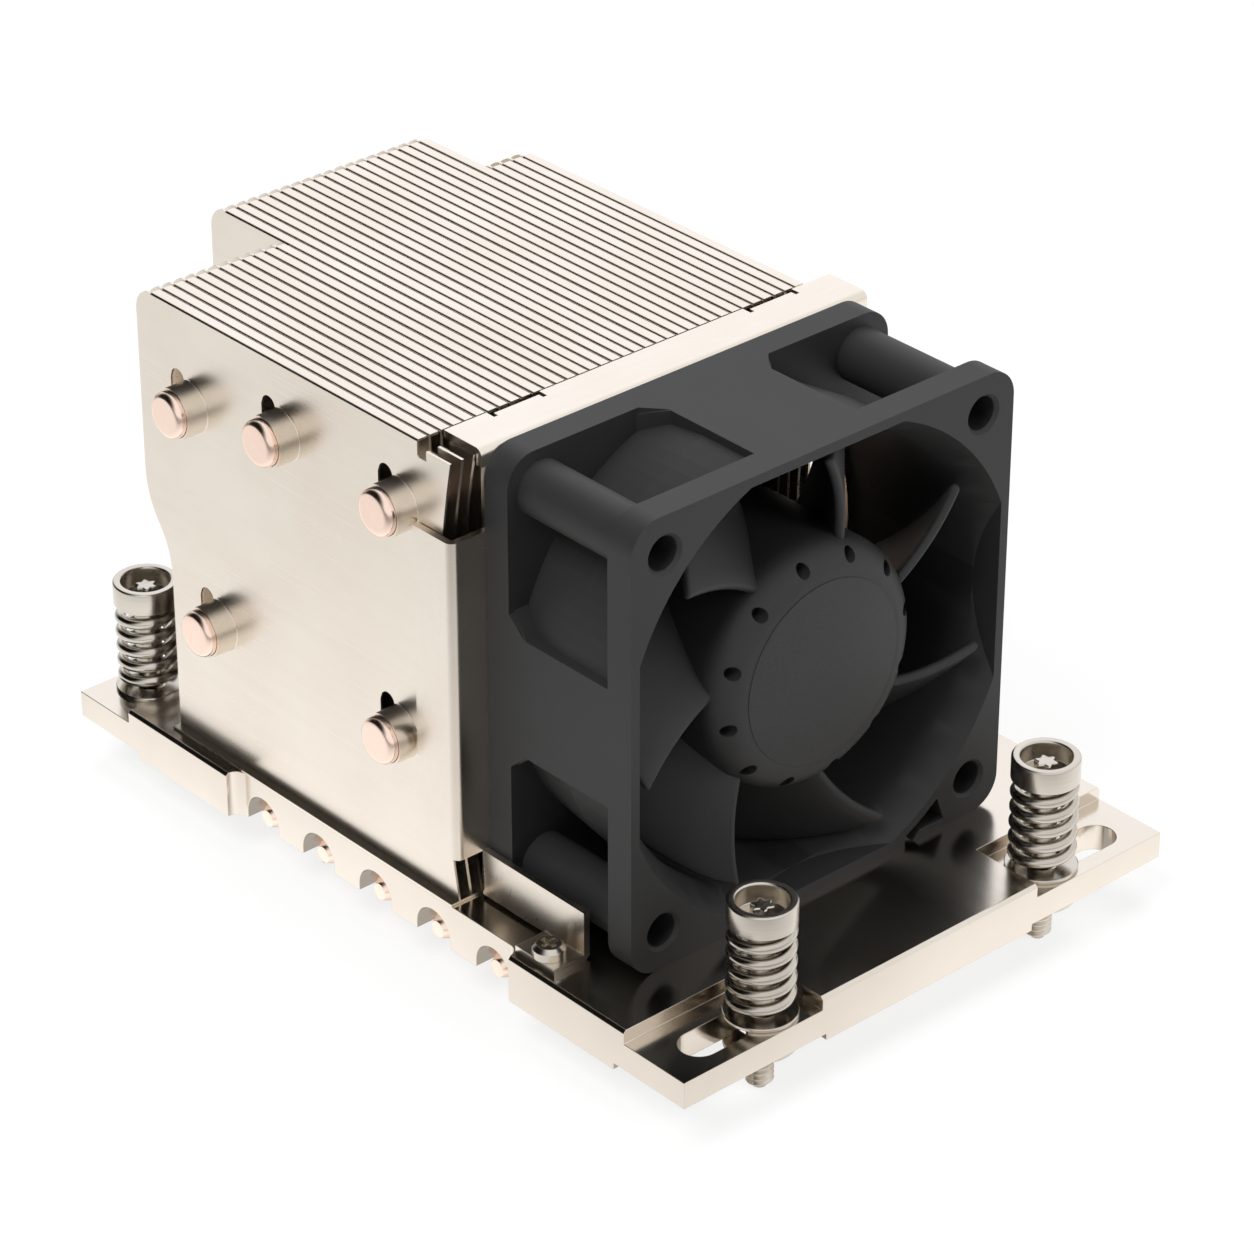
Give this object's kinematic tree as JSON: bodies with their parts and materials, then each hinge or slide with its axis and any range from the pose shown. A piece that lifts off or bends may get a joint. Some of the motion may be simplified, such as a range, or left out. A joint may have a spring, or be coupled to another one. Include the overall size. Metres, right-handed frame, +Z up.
{
  "type": "heat pipe heatsink with fan",
  "caption": "Processor heatsink: a metal block with copper heat pipes, a stack of folded fins, an axial fan in a sheet shroud and spring-loaded captive screws.",
  "frame": {"origin": "on the floor under the centre of the base block, at the tips of the captive screws", "axes": "+X across the fan to the right as seen from its front, +Y from the fan to the rear, +Z up"},
  "size_m": [0.0811, 0.115, 0.072],
  "materials": {
    "block_metal": "fine machined, plated",
    "fin_metal": "bright plated sheet",
    "shroud_metal": "bright plated sheet",
    "plated_steel": "bright nickel",
    "spring_steel": "bright drawn wire",
    "pipe_copper": "satin copper",
    "winding_copper": "enamelled wire",
    "plain_steel": "plain steel",
    "magnet_grey": "bonded magnet",
    "fan_plastic": "moulded, fine texture",
    "label_film": "bare film disc, fine grain",
    "board_green": "solder mask"
  },
  "bodies": {
    "heatsink": {"base_block": "block_metal", "fin_stack": "fin_metal", "side_fin": "fin_metal", "shroud": "shroud_metal", "shroud_screw_left": "plated_steel", "shroud_screw_right": "plated_steel", "spring_washers": "plated_steel", "fan_frame": "fan_plastic", "front_bearing": "plain_steel", "rear_bearing": "plain_steel", "stator_core": "plain_steel", "stator_coils": "winding_copper", "circuit_board": "board_green", "heat_pipe_top_rear": "pipe_copper", "heat_pipe_top_middle": "pipe_copper", "heat_pipe_top_front": "pipe_copper", "heat_pipe_low_rear": "pipe_copper", "heat_pipe_low_front": "pipe_copper"},
    "rotor": {"impeller": "fan_plastic", "hub_label": "label_film", "rotor_yoke": "plain_steel", "rotor_magnet": "magnet_grey", "motor_shaft": "plain_steel"},
    "cup_front_left": {"screw_cup_front_left": "plated_steel", "spring_front_left": "spring_steel"},
    "screw_front_left": {"captive_screw_front_left": "plated_steel", "retaining_ring_front_left": "plated_steel"},
    "cup_front_right": {"screw_cup_front_right": "plated_steel", "spring_front_right": "spring_steel"},
    "screw_front_right": {"captive_screw_front_right": "plated_steel", "retaining_ring_front_right": "plated_steel"},
    "cup_rear_left": {"screw_cup_rear_left": "plated_steel", "spring_rear_left": "spring_steel"},
    "screw_rear_left": {"captive_screw_rear_left": "plated_steel", "retaining_ring_rear_left": "plated_steel"},
    "cup_rear_right": {"screw_cup_rear_right": "plated_steel", "spring_rear_right": "spring_steel"},
    "screw_rear_right": {"captive_screw_rear_right": "plated_steel", "retaining_ring_rear_right": "plated_steel"}
  },
  "joints": [
    {"name": "impeller_spin", "type": "hinge", "parent": "heatsink", "child": "rotor", "pos_m": [-0.00234, -0.04063, 0.042], "axis": [0, -1, 0], "continuous": true},
    {"name": "cup_press_front_left", "type": "slide", "parent": "heatsink", "child": "cup_front_left", "axis": [0, 0, -1], "range_m": [0, 0.003], "stiffness_N_per_m": 3000, "springref_m": -0.002, "deforming": ["spring_front_left"]},
    {"name": "screw_turn_front_left", "type": "hinge", "parent": "cup_front_left", "child": "screw_front_left", "pos_m": [-0.0232, -0.0528, 0.01], "axis": [0, 0, 1], "continuous": true},
    {"name": "cup_press_front_right", "type": "slide", "parent": "heatsink", "child": "cup_front_right", "axis": [0, 0, -1], "range_m": [0, 0.003], "stiffness_N_per_m": 3000, "springref_m": -0.002, "deforming": ["spring_front_right"]},
    {"name": "screw_turn_front_right", "type": "hinge", "parent": "cup_front_right", "child": "screw_front_right", "pos_m": [0.0232, -0.0528, 0.01], "axis": [0, 0, 1], "continuous": true},
    {"name": "cup_press_rear_left", "type": "slide", "parent": "heatsink", "child": "cup_rear_left", "axis": [0, 0, -1], "range_m": [0, 0.003], "stiffness_N_per_m": 3000, "springref_m": -0.002, "deforming": ["spring_rear_left"]},
    {"name": "screw_turn_rear_left", "type": "hinge", "parent": "cup_rear_left", "child": "screw_rear_left", "pos_m": [-0.03155, 0.0528, 0.01], "axis": [0, 0, 1], "continuous": true},
    {"name": "cup_press_rear_right", "type": "slide", "parent": "heatsink", "child": "cup_rear_right", "axis": [0, 0, -1], "range_m": [0, 0.003], "stiffness_N_per_m": 3000, "springref_m": -0.002, "deforming": ["spring_rear_right"]},
    {"name": "screw_turn_rear_right", "type": "hinge", "parent": "cup_rear_right", "child": "screw_rear_right", "pos_m": [0.03155, 0.0528, 0.01], "axis": [0, 0, 1], "continuous": true}
  ]
}
